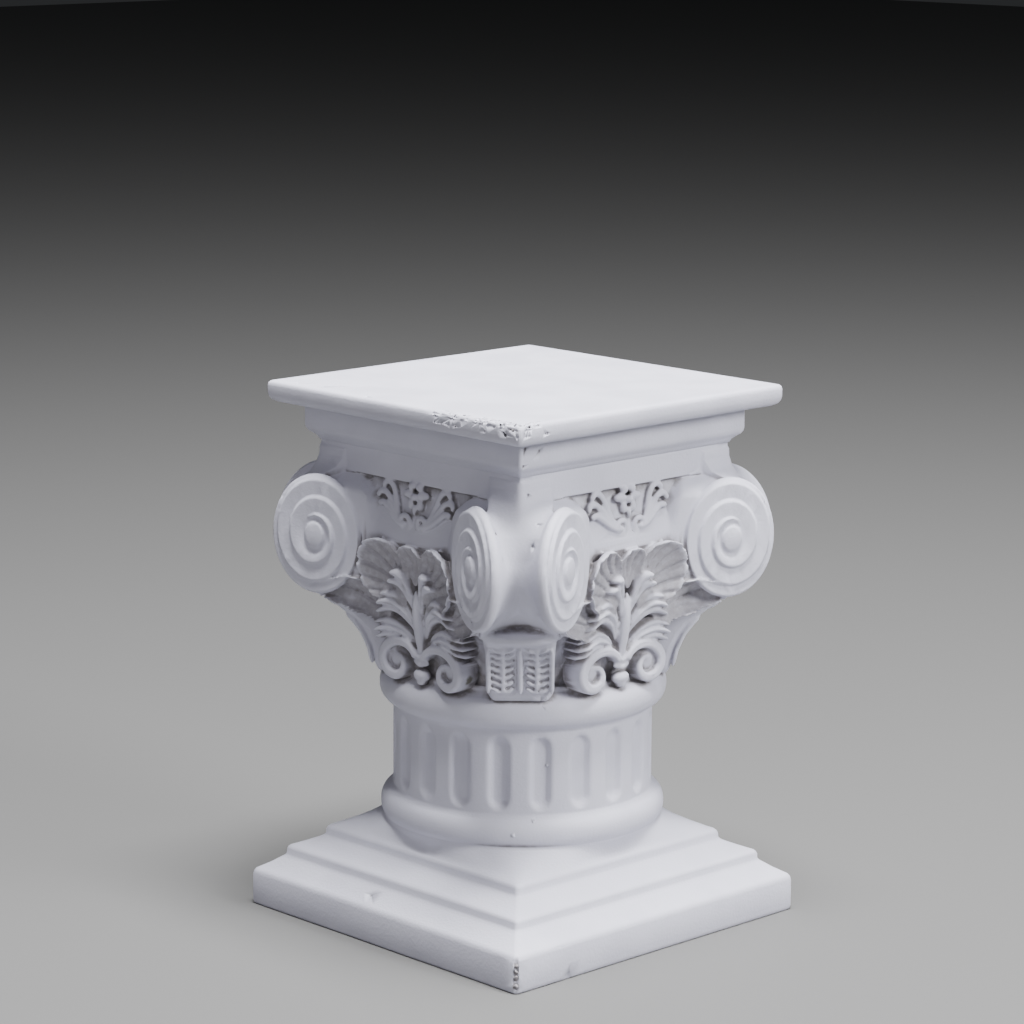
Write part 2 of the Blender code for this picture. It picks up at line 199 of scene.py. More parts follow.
top_shape = bmesh.new()
loft(top_shape, [rounded_square(*row) for row in TOP_PROFILE])
top = add_piece("top", top_shape)


# Shaft
# Short round drum with twenty shallow flutes between two rolls. It is turned and fluted on the
# pattern, and cast in one with the plinth under it and the capital over it.
DRUM_SIZES = {
    "Radius": 0.668 * MODULE, "Foot": 0.520 * MODULE, "Head": 1.340 * MODULE,
    "Lower Roll Middle": 0.590 * MODULE, "Lower Roll Half": 0.082 * MODULE, "Lower Roll Bulge": 0.064 * MODULE,
    "Upper Roll Middle": 1.218 * MODULE, "Upper Roll Half": 0.086 * MODULE, "Upper Roll Bulge": 0.071 * MODULE,
    "Flute Width": 0.111 * MODULE, "Flute Depth": 0.028 * MODULE, "Flute Edge": 0.016 * MODULE,
    "Flute Foot": 0.712 * MODULE, "Flute Head": 1.085 * MODULE,
}
DRUM_COUNTS = {"Flutes": 20, "Around": 340, "Up": 52}


class Tree:
    """Small writer of Geometry Nodes: it adds nodes, joins sockets and takes plain numbers as they are."""

    def __init__(self, name):
        self.tree = bpy.data.node_groups.new(name, "GeometryNodeTree")
        self.face = self.tree.interface
        self.face.new_socket(name="Geometry", in_out="OUTPUT", socket_type="NodeSocketGeometry")
        self.inlet = self.tree.nodes.new("NodeGroupInput")
        self.outlet = self.tree.nodes.new("NodeGroupOutput")
        self.keys = {}

    def add_input(self, name, kind, default=None):
        socket = self.face.new_socket(name=name, in_out="INPUT", socket_type="NodeSocket" + kind)
        if default is not None:
            socket.default_value = default
        self.keys[name] = socket.identifier
        return self.inlet.outputs[name]

    def node(self, kind, settings=None, **links):
        made = self.tree.nodes.new(kind)
        for name, value in (settings or {}).items():
            setattr(made, name, value)
        for name, value in links.items():
            self.feed(made.inputs[name.replace("_", " ")], value)
        return made

    def feed(self, socket, value):
        if isinstance(value, bpy.types.NodeSocket):
            self.tree.links.new(value, socket)
        else:
            socket.default_value = value

    def math(self, operation, first, second=0.0, third=0.0):
        made = self.node("ShaderNodeMath", {"operation": operation})
        for socket, value in zip(made.inputs, (first, second, third)):
            self.feed(socket, value)
        return made.outputs[0]


def drum_tree():
    """Cylinder whose side swells at the two rolls and sinks at each flute."""
    tree = Tree("fluted_drum")
    size = {name: tree.add_input(name, "Float", value) for name, value in DRUM_SIZES.items()}
    count = {name: tree.add_input(name, "Int", value) for name, value in DRUM_COUNTS.items()}
    finish = tree.add_input("Finish", "Material")
    height = tree.math("SUBTRACT", size["Head"], size["Foot"])
    drum = tree.node("GeometryNodeMeshCylinder", Vertices=count["Around"], Side_Segments=count["Up"],
                     Radius=size["Radius"], Depth=height)
    lift = tree.math("MULTIPLY_ADD", height, 0.5, size["Foot"])
    shift = tree.node("ShaderNodeCombineXYZ", Z=lift)
    raised = tree.node("GeometryNodeTransform", Geometry=drum.outputs["Mesh"], Translation=shift.outputs[0])
    spot = tree.node("ShaderNodeSeparateXYZ", Vector=tree.node("GeometryNodeInputPosition").outputs[0])
    x, y, z = spot.outputs

    def roll(which):
        offset = tree.math("SUBTRACT", z, size[which + " Roll Middle"])
        share = tree.math("DIVIDE", offset, size[which + " Roll Half"])
        rest = tree.math("SUBTRACT", 1.0, tree.math("POWER", tree.math("ABSOLUTE", share), 2.3))
        curve = tree.math("POWER", tree.math("MAXIMUM", rest, 0.0), 0.5)
        return tree.math("MULTIPLY", curve, size[which + " Roll Bulge"])

    pitch = tree.math("DIVIDE", 2 * math.pi, count["Flutes"])
    angle = tree.math("WRAP", tree.math("ARCTAN2", y, x), tree.math("MULTIPLY", pitch, 0.5),
                      tree.math("MULTIPLY", pitch, -0.5))
    sideways = tree.math("MULTIPLY", angle, size["Radius"])
    half_width = tree.math("MULTIPLY", size["Flute Width"], 0.5)
    middle = tree.math("MULTIPLY", tree.math("ADD", size["Flute Foot"], size["Flute Head"]), 0.5)
    reach = tree.math("SUBTRACT", tree.math("SUBTRACT", size["Flute Head"], middle), half_width)
    beyond = tree.math("SUBTRACT", tree.math("ABSOLUTE", tree.math("SUBTRACT", z, middle)), reach)
    lengthwise = tree.math("MAXIMUM", beyond, 0.0)
    distance = tree.math("SQRT", tree.math("ADD", tree.math("POWER", sideways, 2.0),
                                           tree.math("POWER", lengthwise, 2.0)))
    inside = tree.math("DIVIDE", tree.math("SUBTRACT", half_width, distance), size["Flute Edge"])
    slope = tree.node("ShaderNodeMapRange", {"interpolation_type": "SMOOTHSTEP"}, Value=inside)
    hollow = tree.math("SUBTRACT", 1.0, tree.math("POWER", tree.math("DIVIDE", distance, half_width), 2.0))
    bowl = tree.math("MULTIPLY_ADD", hollow, 0.30, 0.70)
    flute = tree.math("MULTIPLY", tree.math("MULTIPLY", slope.outputs[0], bowl), size["Flute Depth"])
    change = tree.math("SUBTRACT", tree.math("MAXIMUM", roll("Lower"), roll("Upper")), flute)
    wanted = tree.math("DIVIDE", tree.math("ADD", size["Radius"], change), size["Radius"])
    rim = tree.math("SUBTRACT", tree.math("SQRT", tree.math("ADD", tree.math("POWER", x, 2.0),
                    tree.math("POWER", y, 2.0))), tree.math("MULTIPLY", size["Radius"], 0.99))
    on_side = tree.math("GREATER_THAN", rim, 0.0)
    moved = tree.node("ShaderNodeCombineXYZ", X=tree.math("MULTIPLY", x, wanted),
                      Y=tree.math("MULTIPLY", y, wanted), Z=z)
    shaped = tree.node("GeometryNodeSetPosition", Geometry=raised.outputs[0], Selection=on_side,
                       Position=moved.outputs[0])
    solid = tree.node("GeometryNodeRealizeInstances", Geometry=shaped.outputs[0])
    coated = tree.node("GeometryNodeSetMaterial", Geometry=solid.outputs[0], Material=finish)
    tree.tree.links.new(coated.outputs[0], tree.outlet.inputs[0])
    return tree


def bake_piece(name, piece):
    """Plain mesh from an object and its modifiers, as a new object, with the old one removed."""
    bpy.context.view_layer.update()
    graph = bpy.context.evaluated_depsgraph_get()
    mesh = bpy.data.meshes.new_from_object(piece.evaluated_get(graph))
    bpy.data.objects.remove(piece)
    mesh.name = name
    plain = bpy.data.objects.new(name, mesh)
    bpy.context.scene.collection.objects.link(plain)
    return plain


resin = bpy.data.materials.new("cast_resin")
drum_maker = drum_tree()
drum = bpy.data.objects.new("drum", bpy.data.meshes.new("drum"))
bpy.context.scene.collection.objects.link(drum)
drum_nodes = drum.modifiers.new("flutes", "NODES")
drum_nodes.node_group = drum_maker.tree
for size_name, size_value in (DRUM_SIZES | DRUM_COUNTS).items():
    drum_nodes[drum_maker.keys[size_name]] = size_value
drum_nodes[drum_maker.keys["Finish"]] = resin
drum = bake_piece("drum", drum)


# Capital bell and neck
# Body of the capital that the carving stands on. It grows from the round roll to a square with
# swept corners under the volutes, and ends in the plain neck under the band.
BELL_SECTIONS = [               # height, distance of the flat, corner, and half width of the flat
    (1.285, 0.630, 0.500, 0.05), (1.330, 0.635, 0.505, 0.06), (1.450, 0.655, 0.525, 0.08),
    (1.560, 0.674, 0.555, 0.12), (1.640, 0.682, 0.600, 0.16), (1.700, 0.686, 0.645, 0.20),
    (1.760, 0.692, 0.680, 0.22), (1.850, 0.702, 0.700, 0.24), (1.930, 0.722, 0.700, 0.24),
    (1.985, 0.750, 0.700, 0.25), (2.030, 0.772, 0.700, 0.25), (2.080, 0.768, 0.700, 0.26),
    (2.140, 0.750, 0.700, 0.27), (2.200, 0.730, 0.700, 0.28), (2.260, 0.717, 0.720, 0.31),
    (2.315, 0.708, 0.735, 0.36), (2.331, 0.706, 0.745, 0.40), (2.336, 0.740, 0.734, 0.44),
    (2.360, 0.740, 0.732, 0.50), (2.385, 0.740, 0.732, 0.58), (2.420, 0.740, 0.732, 0.64),
    (2.475, 0.740, 0.732, 0.64),
]
BELL_STEPS = 40
DISC_INNER = (0.345, 0.805)     # across and out of the volute disc's inner and outer edges
DISC_OUTER = (0.818, 0.988)
DISC_MIDDLE = 2.018
DISC_HALF_HEIGHT = 0.308
DISC_SINK = 0.004               # how far the bell stays behind the disc's face


def smooth_step(value):
    """Soft ramp from 0 to 1."""
    value = min(1.0, max(0.0, value))
    return value * value * (3 - 2 * value)


def disc_plane(across):
    """Distance of the volute disc's face from the axis plane, at a place across the bell."""
    slope = (DISC_OUTER[1] - DISC_INNER[1]) / (DISC_OUTER[0] - DISC_INNER[0])
    return DISC_INNER[1] + slope * (across - DISC_INNER[0])


def bell_ring(height, flat, corner, plain):
    """Ring that is flat in the middle of each side, swells to carry the discs and ends in the corners."""
    plain = min(plain, 0.92 * corner)
    share = min(0.0, height - DISC_MIDDLE) / (1.12 * DISC_HALF_HEIGHT)
    width = math.sqrt(max(0.0, 1 - share * share)) * (DISC_OUTER[0] - DISC_INNER[0]) / 2
    centre = (DISC_INNER[0] + DISC_OUTER[0]) / 2
    carry = max(plain + 0.03, centre - 0.96 * width - 0.045)
    amount = smooth_step((height - 1.72) / 0.12) * (1 - smooth_step((height - 2.235) / 0.125))
    half_side = []
    for i in range(BELL_STEPS):
        across = corner * i / BELL_STEPS
        rise = smooth_step((across - plain) / (corner - plain))
        out = flat + (corner - flat) * rise
        if width > 0 and across > plain:
            foot = disc_plane(carry) - DISC_SINK
            ramp = smooth_step((across - plain) / (carry - plain))
            swell = flat + (foot - flat) * ramp if across < carry else disc_plane(across) - DISC_SINK
            fade = 1 - smooth_step((across - 0.62) / (corner - 0.62))
            out += max(0.0, swell - out) * fade * amount
        half_side.append((across, out))
    half_side.append((corner, corner))
    side = [(-across, out) for across, out in half_side[:0:-1]] + half_side[:-1]
    ring = []
    for quarter in range(4):
        turn = Matrix.Rotation(quarter * math.pi / 2, 3, "Z")
        ring += [turn @ Vector((across, -out, height)) * MODULE for across, out in side]
    return ring


def between(sections, steps):
    """More sections between the given ones, so that the skin is smooth."""
    rows = []
    for low, high in zip(sections, sections[1:]):
        rows += [tuple(a + (b - a) * i / steps for a, b in zip(low, high)) for i in range(steps)]
    return rows + [sections[-1]]


bell_shape = bmesh.new()
loft(bell_shape, [bell_ring(*row) for row in between(BELL_SECTIONS, 3)])
bell = add_piece("bell", bell_shape)


# Volutes
# Oval spiral scrolls, two at each corner. Each disc turns a little towards the middle of its face;
# its channel winds in clockwise on the right-hand disc, and the left-hand disc mirrors it.
VOLUTE_SIDE = [(0.60, 0.27), (0.80, 0.20), (0.83, 0.15), (0.80, 0.13), (0.795, 0.115), (0.81, 0.095),
               (0.85, 0.075), (0.90, 0.058), (0.96, 0.042), (0.99, 0.034)]   # size and depth behind the face
VOLUTE_START = math.radians(150)
VOLUTE_BAND = 0.295             # share of the radius from one turn to the next
VOLUTE_WALL = 0.018
VOLUTE_DOME = 0.014
VOLUTE_EYE = 0.240


def face_point(across, out, up):
    """Point on the -Y face: across to the right, out from the axis, up from the floor, in modules."""
    return Vector((across, -out, up)) * MODULE


def volute_relief(share, turn):
    """Height of the disc's face: each turn has a steep outer wall and slopes inwards to the next one."""
    dome = VOLUTE_DOME * (1 - share * share)
    phase = (1 - share) / VOLUTE_BAND - turn / (2 * math.pi)
    within = phase - math.floor(phase)
    wall = smooth_step(within / 0.11)
    slope = 1 - 0.95 * max(0.0, within - 0.20) / 0.80
    band = VOLUTE_WALL * wall * slope
    eye = 0.9 * VOLUTE_WALL * smooth_step((VOLUTE_EYE - share) / 0.05)
    blend = smooth_step((VOLUTE_EYE + 0.10 - share) / 0.06)
    rim = smooth_step((1 - share) / 0.05)
    return dome + max(band * (1 - blend), eye) - 0.022 * (1 - rim) ** 2


def add_volute(shape):
    """Disc with its spiral face, its rim and its thickness towards the corner."""
    inner = face_point(*DISC_INNER, DISC_MIDDLE)
    outer = face_point(*DISC_OUTER, DISC_MIDDLE)
    middle = (inner + outer) / 2
    across = (outer - inner) / 2
    front = across.normalized().cross(Vector((0, 0, 1)))
    sectors, rows = 128, 64

    def ring(share, depth=None):
        points = []
        for i in range(sectors):
            angle = 2 * math.pi * i / sectors
            turn = (VOLUTE_START - angle) % (2 * math.pi)
            rise = volute_relief(share, turn) if depth is None else depth
            height = share * DISC_HALF_HEIGHT * math.sin(angle) * MODULE
            points.append(middle + share * math.cos(angle) * across
                          + Vector((0, 0, height)) + rise * MODULE * front)
        return points

    rings = [ring(size, -depth) for size, depth in VOLUTE_SIDE]
    rings += [ring(1 - 0.99 * i / rows) for i in range(rows + 1)]
    loft(shape, rings)


VALLEY = [                      # height, reach on the diagonal, hollow, corner and half width
    (1.640, 0.860, 1.0, 0.0, 0.20), (1.700, 0.930, 2.6, 0.0, 0.19), (1.740, 0.985, 3.4, 0.0, 0.175),
    (1.800, 1.060, 4.2, 0.0, 0.150), (1.900, 1.135, 4.6, 0.0, 0.128), (2.030, 1.168, 4.6, 0.0, 0.120),
    (2.120, 1.168, 4.4, 0.0, 0.122), (2.200, 1.150, 3.2, 0.0, 0.135), (2.260, 1.120, 1.2, 0.10, 0.150),
    (2.310, 1.085, 0.0, 0.45, 0.160), (2.350, 1.060, 0.0, 0.80, 0.160), (2.400, 1.044, 0.0, 1.0, 0.150),
    (2.440, 1.042, 0.0, 1.0, 0.150),
]


def corner_point(lateral, reach, up):
    """Point near the +X -Y corner: sideways to the right, out along the diagonal, up, in modules."""
    slant = math.sqrt(0.5)
    return Vector(((reach + lateral) * slant, (lateral - reach) * slant, up)) * MODULE


def add_valley(shape):
    """Hollow between the rims of two discs, which runs up into the sharp corner of the neck."""
    rings = []
    for up, reach, hollow, edge, half in between(VALLEY, 4):
        front = []
        for i in range(25):
            lateral = half * (i / 12 - 1)
            corner = math.sqrt(lateral * lateral + 0.0004) - 0.02
            front.append(corner_point(lateral, reach + hollow * lateral * lateral - edge * corner, up))
        rings.append([corner_point(-0.8 * half, 0.55, up)] + front + [corner_point(0.8 * half, 0.55, up)])
    loft(shape, rings)


# Leaves
# Spray of acanthus in the middle of each face: fronds of rounded fingers that rise together from
# one stem and curl over, cupped leaves with veins behind them, and a small leaf at the crest.
FRONDS = [                      # upper and lower edge from the stem to the tip, across and up, and stand-off
    ([(0.004, 1.60), (0.014, 1.72), (0.034, 1.830), (0.066, 1.900), (0.120, 1.912)],
     [(0.016, 1.56), (0.040, 1.67), (0.080, 1.755), (0.125, 1.800), (0.190, 1.800)], 2, 0.066),
    ([(0.010, 1.54), (0.034, 1.65), (0.080, 1.740), (0.150, 1.785), (0.248, 1.770)],
     [(0.024, 1.51), (0.070, 1.590), (0.130, 1.640), (0.210, 1.655), (0.300, 1.615)], 3, 0.062),
    ([(0.020, 1.49), (0.066, 1.560), (0.130, 1.610), (0.215, 1.635), (0.325, 1.600)],
     [(0.030, 1.46), (0.080, 1.490), (0.140, 1.512), (0.225, 1.520), (0.325, 1.480)], 3, 0.050),
]
BACK_LEAF = [(0.068, 0.770, 1.880), (0.080, 0.790, 1.965), (0.125, 0.815, 2.018), (0.195, 0.845, 2.044),
             (0.270, 0.860, 2.026), (0.318, 0.856, 1.968), (0.334, 0.848, 1.890), (0.322, 0.836, 1.820),
             (0.285, 0.822, 1.760), (0.225, 0.790, 1.720), (0.150, 0.765, 1.705)]
LOW_LEAF = [(0.188, 0.740, 1.715), (0.228, 0.775, 1.765), (0.300, 0.815, 1.803), (0.390, 0.852, 1.818),
            (0.480, 0.884, 1.803), (0.588, 0.915, 1.742), (0.548, 0.892, 1.690), (0.462, 0.846, 1.650),
            (0.360, 0.795, 1.615), (0.268, 0.750, 1.595)]
CREST_LEAF = [(-0.066, 0.775, 1.900), (-0.082, 0.800, 1.965), (-0.055, 0.820, 2.015), (0.0, 0.828, 2.034),
              (0.055, 0.820, 2.015), (0.082, 0.800, 1.965), (0.066, 0.775, 1.900)]


def smooth_path(points, steps):
    """Points along the curve that passes through all the given ones."""
    rows = [points[0]] + list(points) + [points[-1]]
    path = []
    for before, start, end, after in zip(rows, rows[1:], rows[2:], rows[3:]):
        for i in range(steps):
            t = i / steps
            path.append(tuple(
                0.5 * (2 * b + (c - a) * t + (2 * a - 5 * b + 4 * c - d) * t ** 2
                       + (3 * b - a - 3 * c + d) * t ** 3)
                for a, b, c, d in zip(before, start, end, after)))
    path.append(tuple(float(value) for value in points[-1]))
    return path


def bell_out(up):
    """Distance of the bell's flat from the axis at a height, in modules."""
    rows = [(row[0], row[1]) for row in BELL_SECTIONS]
    for (low, start), (high, end) in zip(rows, rows[1:]):
        if low <= up <= high:
            return start + (end - start) * (up - low) / (high - low)
    return rows[0][1] if up < rows[0][0] else rows[-1][1]


def add_tube(shape, rows, sides=10):
    """Round closed rod: rows of across, out, up and radius, in modules, with rounded ends."""
    points = [face_point(*row[:3]) for row in rows]
    radii = [row[3] * MODULE for row in rows]
    first, last = points[0] - points[1], points[-1] - points[-2]
    points = [points[0] + 0.6 * radii[0] * first.normalized()] + points
    points.append(points[-1] + 0.6 * radii[-1] * last.normalized())
    radii = [0.4 * radii[0]] + radii + [0.4 * radii[-1]]
    rings = []
    for i, (point, radius) in enumerate(zip(points, radii)):
        along = (points[min(i + 1, len(points) - 1)] - points[max(i - 1, 0)]).normalized()
        side = along.cross(Vector((0, -1, 0.001))).normalized()
        front = side.cross(along)
        rings.append([point + radius * (math.cos(a) * side + math.sin(a) * front)
                      for a in (2 * math.pi * k / sides for k in range(sides))])
    loft(shape, rings)


def add_ball(shape, centre, radii):
    """Egg-shaped lump, its middle and its three radii in modules."""
    made = bmesh.ops.create_icosphere(shape, subdivisions=3, radius=1.0)
    middle = face_point(*centre)
    for vert in made["verts"]:
        vert.co = middle + Vector(a * b * MODULE for a, b in zip(vert.co, radii))


def add_relief(shape, front, back):
    """Closed body between a carved front and a back, both grids of points of the same size."""
    fore, aft = [[[shape.verts.new(face_point(*point)) for point in row] for row in grid]
                 for grid in (front, back)]
    rows, columns = len(fore), len(fore[0])
    for i in range(rows - 1):
        for k in range(columns - 1):
            shape.faces.new((fore[i][k], fore[i][k + 1], fore[i + 1][k + 1], fore[i + 1][k]))
            shape.faces.new((aft[i][k], aft[i + 1][k], aft[i + 1][k + 1], aft[i][k + 1]))
        shape.faces.new((fore[i][0], fore[i + 1][0], aft[i + 1][0], aft[i][0]))
        shape.faces.new((fore[i][-1], aft[i][-1], aft[i + 1][-1], fore[i + 1][-1]))
    for k in range(columns - 1):
        shape.faces.new((fore[0][k], aft[0][k], aft[0][k + 1], fore[0][k + 1]))
        shape.faces.new((fore[-1][k], fore[-1][k + 1], aft[-1][k + 1], aft[-1][k]))


leaf_hollows = []                # points on the carved faces of the cupped leaves, right-hand half


def add_fan_leaf(shape, root, rim, veins, vein_depth, cup, thick):
    """Cupped leaf: it fans from its two root points to its rim, with rounded ribs and narrow grooves."""
    rays = smooth_path(rim, 12)
    rows = 24
    front, back = [], []
    for i, tip in enumerate(rays):
        rib = min(1.0, 1.5 * abs(math.sin(math.pi * veins * i / (len(rays) - 1)))) ** 0.7
        start = tuple(a + (b - a) * i / (len(rays) - 1) for a, b in zip(*root))
        front_row, back_row = [], []
        for k in range(rows + 1):
            reach = k / rows
            wave = 1 + 0.004 * (rib - 0.6) * reach ** 4
            across = start[0] + (tip[0] - start[0]) * reach * wave
            up = start[2] + (tip[2] - start[2]) * reach * wave
            groove = smooth_step(reach / 0.25) * (1 - 0.6 * smooth_step((reach - 0.93) / 0.07))
            carve = vein_depth * (rib - 1) * groove
            out = start[1] + (tip[1] - start[1]) * reach ** cup + carve
            body = thick + (out - start[1]) * (1 - reach) ** 1.5
            front_row.append((across, out, up))
            if reach < 0.94:
                leaf_hollows.append(face_point(across, out, up))
            back_row.append((across, out - body - 0.3 * thick, up))
        front.append(front_row)
        back.append(back_row)
    add_relief(shape, front, back)


def along_path(path, share):
    """Point at a share of the way along a path of equally spaced steps."""
    place = min(share, 0.9999) * (len(path) - 1)
    i = int(place)
    return tuple(a + (b - a) * (place - i) for a, b in zip(path[i], path[i + 1]))


def add_frond(shape, upper, lower, ribs, stand):
    """Frond of rounded ribs that run from the stem to lobed tips, which curl over outwards."""
    edges = smooth_path(upper, 6), smooth_path(lower, 6)
    columns, rows = 10 * ribs, 30
    front, back = [], []
    for i in range(columns + 1):
        share = i / columns
        rib = abs(math.sin(math.pi * ribs * share)) ** 0.75
        front_row, back_row = [], []
        for k in range(rows + 1):
            reach = k / rows
            place = reach * (0.84 + 0.16 * rib)
            start, end = (along_path(edge, place) for edge in edges)
            across, up = (a + (b - a) * share for a, b in zip(start, end))
            rise = 0.30 + 0.70 * smooth_step(reach / 0.55)
            curl = 0.026 * smooth_step((reach - 0.50) / 0.40) - 0.040 * smooth_step((reach - 0.90) / 0.10)
            relief = (0.55 + 0.45 * math.sin(math.pi * share)) * stand * rise
            out = bell_out(up) + relief + curl + 0.050 * (rib - 0.5) * (0.35 + 0.65 * reach)
            front_row.append((across, out, up))
            back_row.append((across, 0.62, up))
        front.append(front_row)
        back.append(back_row)
    add_relief(shape, front, back)


def add_leaves(shape):
    """Right-hand half of the spray on one face."""
    for frond in FRONDS:
        add_frond(shape, *frond)
    add_fan_leaf(shape, ((0.066, 0.765, 1.880), (0.075, 0.745, 1.710)), BACK_LEAF, 9, 0.0340, 3.2, 0.030)
    add_fan_leaf(shape, ((0.180, 0.735, 1.670), (0.240, 0.735, 1.600)), LOW_LEAF, 8, 0.0360, 4.5, 0.030)


def add_stem(shape):
    """Stem and crest leaf, which stand on the middle of the face."""
    stem = [(0.0, 0.686, 1.42, 0.020), (0.0, 0.700, 1.50, 0.027), (0.0, 0.716, 1.58, 0.031),
            (0.0, 0.730, 1.66, 0.029), (0.0, 0.738, 1.73, 0.022), (0.0, 0.735, 1.79, 0.013)]
    add_tube(shape, smooth_path(stem, 4), 12)
    add_fan_leaf(shape, ((-0.01, 0.750, 1.820), (0.01, 0.750, 1.820)), CREST_LEAF, 5, 0.0300, 3.4, 0.028)


# Foot scrolls and collar
# Two flat bands that spring from the collar, arch over and wind in to a hollow eye, with a bead
# bud hanging between them.
SCROLL_PATH = [(0.030, 1.450), (0.055, 1.484), (0.105, 1.508), (0.170, 1.510), (0.232, 1.485),
               (0.272, 1.438), (0.276, 1.385), (0.242, 1.342), (0.188, 1.328), (0.143, 1.352),
               (0.133, 1.396), (0.160, 1.430), (0.198, 1.428), (0.216, 1.400), (0.200, 1.378)]


def add_band(shape, rows):
    """Band on edge: rows of across, up, width and out of its front, and its back is in the bell."""
    rings = []
    for i, (across, up, width, out) in enumerate(rows):
        before, after = rows[max(i - 1, 0)], rows[min(i + 1, len(rows) - 1)]
        along = Vector((after[0] - before[0], after[1] - before[1])).normalized()
        side = Vector((-along.y, along.x)) * width / 2
        profile = [(-1.0, 0.60), (-1.0, out - 0.016), (-0.75, out - 0.005), (-0.35, out), (0.0, out - 0.004),
                   (0.35, out), (0.75, out - 0.005), (1.0, out - 0.016), (1.0, 0.60)]
        rings.append([face_point(across + s * side.x, d, up + s * side.y) for s, d in profile])
    loft(shape, rings)


def add_foot_scroll(shape):
    """Right-hand scroll of one face."""
    path = smooth_path(SCROLL_PATH, 6)
    last = len(path) - 1
    rows = []
    for i, (across, up) in enumerate(path):
        share = i / last
        width = 0.036 + 0.024 * math.sin(math.pi * min(1.0, 1.3 * share)) - 0.006 * share
        rows.append((across, up, width, 0.738 - 0.040 * share + 0.014 * math.sin(math.pi * share)))
    add_band(shape, rows)
    add_ball(shape, (0.205, 0.655, 1.415), (0.070, 0.050, 0.080))


def add_collar(shape):
    """Curved collar rings over a bead bud, in the middle of the face."""
    for up, wide, radius in ((1.448, 0.050, 0.014), (1.415, 0.044, 0.014)):
        arc = [(wide * s, 0.715 - 0.012 * abs(s), up + 0.012 * s * s, radius) for s in (-1, -0.5, 0, 0.5, 1)]
        add_tube(shape, smooth_path(arc, 3))
    add_ball(shape, (0.0, 0.700, 1.358), (0.054, 0.036, 0.034))
    add_ball(shape, (0.0, 0.700, 1.325), (0.028, 0.030, 0.020))


# Fleuron
# Small flower under the neck, between two leafy wings that rise to curled tips and end below in
# a pair of rings. It is low relief on the plain field of the bell.
WING_FINGERS = [
    [(0.075, 2.125), (0.118, 2.180), (0.148, 2.250), (0.178, 2.305), (0.216, 2.322), (0.246, 2.300)],
    [(0.080, 2.125), (0.130, 2.168), (0.174, 2.222), (0.214, 2.262), (0.258, 2.268), (0.276, 2.243)],
    [(0.085, 2.125), (0.138, 2.152), (0.186, 2.190), (0.228, 2.215), (0.258, 2.208)],
]
RING_PATH = [(0.098, 2.122), (0.076, 2.104), (0.044, 2.108), (0.028, 2.134), (0.040, 2.166),
             (0.072, 2.172), (0.092, 2.150), (0.080, 2.128), (0.062, 2.136)]


def add_fleuron(shape):
    """Right-hand half of the flower, its wing and its ring."""
    for points in WING_FINGERS:
        rows = [(a, bell_out(u) + 0.010 + 0.012 * i / len(points), u,
                 0.0125 + 0.006 * math.sin(math.pi * i / len(points)))
                for i, (a, u) in enumerate(points)]
        add_tube(shape, smooth_path(rows, 5))
    ring = [(a, 0.748 + 0.002 * i, u, 0.0150) for i, (a, u) in enumerate(RING_PATH)]
    add_tube(shape, smooth_path(ring, 5))
    add_ball(shape, (0.027, 0.736, 2.322), (0.025, 0.024, 0.022))
    add_ball(shape, (0.054, 0.734, 2.283), (0.040, 0.024, 0.023))
    add_ball(shape, (0.032, 0.736, 2.232), (0.022, 0.024, 0.032))


def add_flower_heart(shape):
    """Middle of the flower."""
    add_ball(shape, (0.0, 0.748, 2.272), (0.022, 0.026, 0.020))
    add_ball(shape, (0.0, 0.744, 2.205), (0.013, 0.020, 0.030))


# Corner blocks
# Block under each pair of volutes, leaning out upwards, with two panels of herringbone on its
# face and a smooth lip over it.
BLOCK_SECTIONS = [              # height, reach along the diagonal and half width
    (1.290, 0.735, 0.145), (1.330, 0.755, 0.165), (1.420, 0.775, 0.168), (1.500, 0.810, 0.170),
    (1.560, 0.855, 0.173), (1.610, 0.915, 0.178), (1.640, 0.950, 0.180),
]
RIB_RADIUS = 0.0115
CHEVRON_STEP = 0.0385


def block_reach(up):
    """Reach of the block's face at a height."""
    for (low, start, _), (high, end, _) in zip(BLOCK_SECTIONS, BLOCK_SECTIONS[1:]):
        if low <= up <= high:
            return start + (end - start) * (up - low) / (high - low)
    return BLOCK_SECTIONS[-1][1]


def add_corner_rod(shape, points, radius, sides=8):
    """Closed rod through points near the corner."""
    rings = []
    for i, point in enumerate(points):
        along = (points[min(i + 1, len(points) - 1)] - points[max(i - 1, 0)]).normalized()
        side = along.cross(Vector((1, -1, 0.01))).normalized()
        front = side.cross(along)
        size = radius * MODULE * (0.55 if i in (0, len(points) - 1) else 1.0)
        rings.append([point + size * (math.cos(a) * side + math.sin(a) * front)
                      for a in (2 * math.pi * k / sides for k in range(sides))])
    loft(shape, rings)


